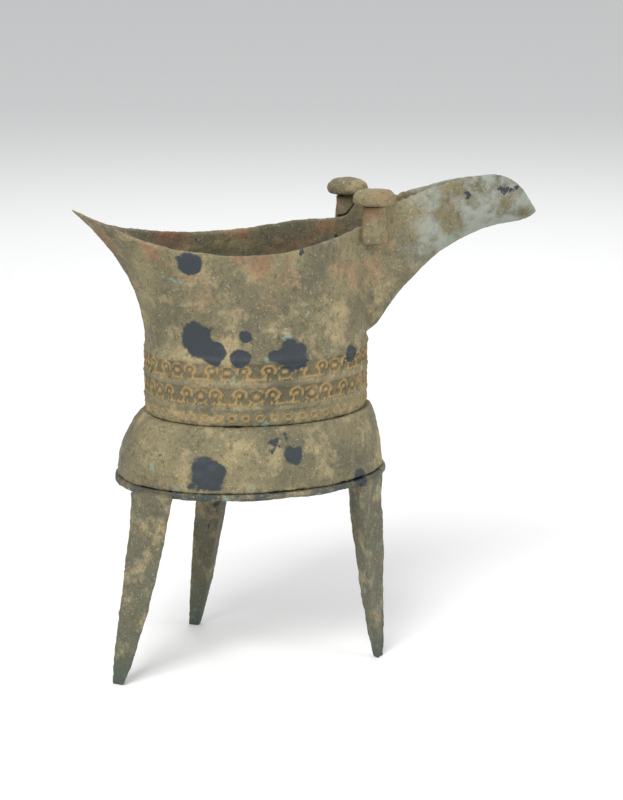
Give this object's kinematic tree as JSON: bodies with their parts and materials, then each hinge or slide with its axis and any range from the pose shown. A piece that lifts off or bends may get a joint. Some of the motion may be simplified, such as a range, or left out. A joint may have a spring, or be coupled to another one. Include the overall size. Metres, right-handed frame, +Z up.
{
  "type": "bronze tripod wine vessel",
  "caption": "Early bronze jue: tripod wine vessel with a long spout, pointed tail, capped posts, strap handle and blade legs.",
  "frame": {"origin": "middle of the bounding box, on the ground under the feet", "axes": "+X towards the spout tip, +Y towards the handle, +Z up"},
  "size_m": [0.1646, 0.083, 0.1569],
  "materials": {
    "encrusted_bronze": "rough",
    "smooth_bronze": "satin",
    "dark_edge": "satin"
  },
  "bodies": {
    "root": {"cup_body": "encrusted_bronze", "lower_body": "encrusted_bronze", "base_plate": "dark_edge", "leg_tail_side": "smooth_bronze", "leg_spout_side": "smooth_bronze", "leg_back": "smooth_bronze", "handle": "smooth_bronze", "post_front": "encrusted_bronze", "cap_front": "encrusted_bronze", "post_back": "encrusted_bronze", "cap_back": "encrusted_bronze"}
  },
  "joints": []
}
